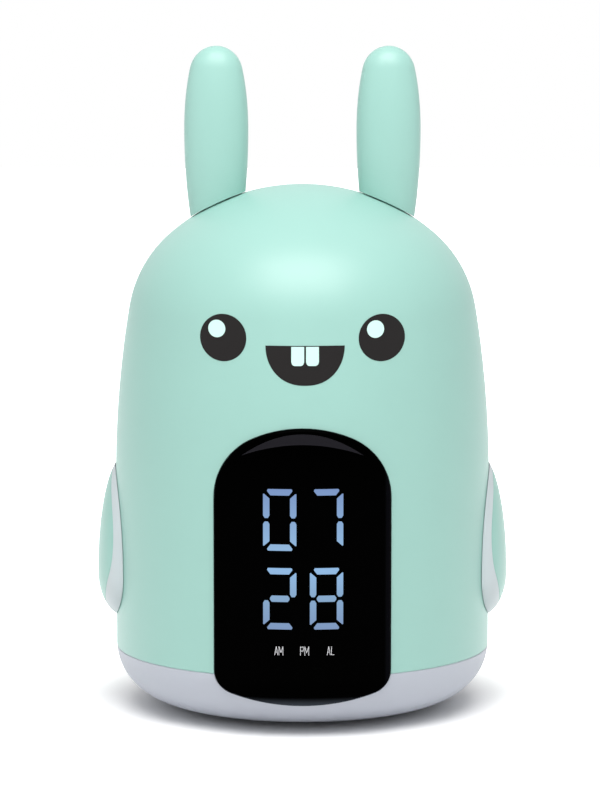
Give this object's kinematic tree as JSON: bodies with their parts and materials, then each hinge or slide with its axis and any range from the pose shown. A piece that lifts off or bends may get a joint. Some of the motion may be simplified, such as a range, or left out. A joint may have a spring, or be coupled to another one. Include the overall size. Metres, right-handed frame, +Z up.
{
  "type": "children's alarm clock with night light",
  "caption": "Round mint alarm clock and night light with two ears, side paw keys and an arched dark display.",
  "frame": {"origin": "on the table under the middle of the round body, at the underside of the feet", "axes": "+Z up through the body's axis, display faces -Y, +X to the right of someone reading the display"},
  "size_m": [0.134, 0.1246, 0.2154],
  "materials": {
    "mint_plastic": "moulded, smooth satin gloss",
    "grey_plastic": "moulded, fine satin",
    "window": "dark smoked acrylic, polished",
    "black_plastic": "moulded, matt",
    "lit_segment": "lit blue light guide",
    "board": "green solder mask",
    "ribbon": "polyimide film",
    "steel": "zinc plated",
    "spring_steel": "bright wire",
    "magnet": "plated magnet cup",
    "paper_cone": "pressed cone",
    "cell": "plain jacket",
    "rubber": "moulded rubber",
    "white_plastic": "moulded, matt",
    "diffuser": "opal",
    "component": "moulded package"
  },
  "bodies": {
    "case": {"alarm_switch_body": "black_plastic", "base_tray": "grey_plastic", "battery_cells": "cell", "battery_contacts": "steel", "case_screws": "steel", "display_board": "board", "display_frame": "black_plastic", "display_module": "black_plastic", "display_ribbon": "ribbon", "display_screws": "steel", "display_segments": "lit_segment", "display_window": "window", "dome_shell": "mint_plastic", "ear_left": "mint_plastic", "ear_right": "mint_plastic", "ear_screws": "steel", "light_board": "board", "light_board_screws": "steel", "light_diffuser": "diffuser", "light_frame": "white_plastic", "light_frame_screws": "steel", "light_lamps": "diffuser", "main_board": "board", "main_board_parts": "component", "paw_board_left": "board", "paw_board_right": "board", "paw_ring_left": "grey_plastic", "paw_ring_right": "grey_plastic", "paw_screws": "steel", "paw_spring_left": "spring_steel", "paw_spring_right": "spring_steel", "paw_switches": "component", "power_socket": "black_plastic", "power_socket_pin": "steel", "rear_board": "board", "rear_board_screws": "steel", "rear_panel": "grey_plastic", "rear_panel_screws": "steel", "rear_switches": "component", "rubber_feet": "rubber", "screw_caps": "grey_plastic", "speaker_cone": "paper_cone", "speaker_frame": "black_plastic", "speaker_magnet": "magnet"},
    "paw_key_right": {"paw_key_right": "mint_plastic"},
    "paw_key_left": {"paw_key_left": "mint_plastic"},
    "alarm_knob": {"alarm_switch_knob": "mint_plastic"},
    "battery_door": {"battery_door": "grey_plastic"},
    "set_button": {"set_button": "mint_plastic"},
    "alarm_button": {"alarm_button": "mint_plastic"},
    "light_button": {"light_button": "mint_plastic"},
    "up_button": {"up_button": "mint_plastic"},
    "down_button": {"down_button": "mint_plastic"}
  },
  "joints": [
    {"name": "paw_right_press", "type": "slide", "parent": "case", "child": "paw_key_right", "axis": [-1, 0, 0], "range_m": [0, 0.0012], "stiffness_N_per_m": 900, "deforming": ["paw_spring_right"]},
    {"name": "paw_left_press", "type": "slide", "parent": "case", "child": "paw_key_left", "axis": [1, 0, 0], "range_m": [0, 0.0012], "stiffness_N_per_m": 900, "deforming": ["paw_spring_left"]},
    {"name": "set_button_press", "type": "slide", "parent": "case", "child": "set_button", "axis": [0, -1, 0], "range_m": [0, 0.0008], "stiffness_N_per_m": 900},
    {"name": "alarm_button_press", "type": "slide", "parent": "case", "child": "alarm_button", "axis": [0, -1, 0], "range_m": [0, 0.0008], "stiffness_N_per_m": 900},
    {"name": "light_button_press", "type": "slide", "parent": "case", "child": "light_button", "axis": [0, -1, 0], "range_m": [0, 0.0008], "stiffness_N_per_m": 900},
    {"name": "up_button_press", "type": "slide", "parent": "case", "child": "up_button", "axis": [0, -1, 0], "range_m": [0, 0.0008], "stiffness_N_per_m": 900},
    {"name": "down_button_press", "type": "slide", "parent": "case", "child": "down_button", "axis": [0, -1, 0], "range_m": [0, 0.0008], "stiffness_N_per_m": 900},
    {"name": "alarm_knob_slide", "type": "slide", "parent": "case", "child": "alarm_knob", "axis": [1, 0, 0], "range_m": [0, 0.004]},
    {"name": "battery_door_hinge", "type": "hinge", "parent": "case", "child": "battery_door", "pos_m": [0, 0.0242, 0.0029], "axis": [1, 0, 0], "range_deg": [0, 80]}
  ]
}
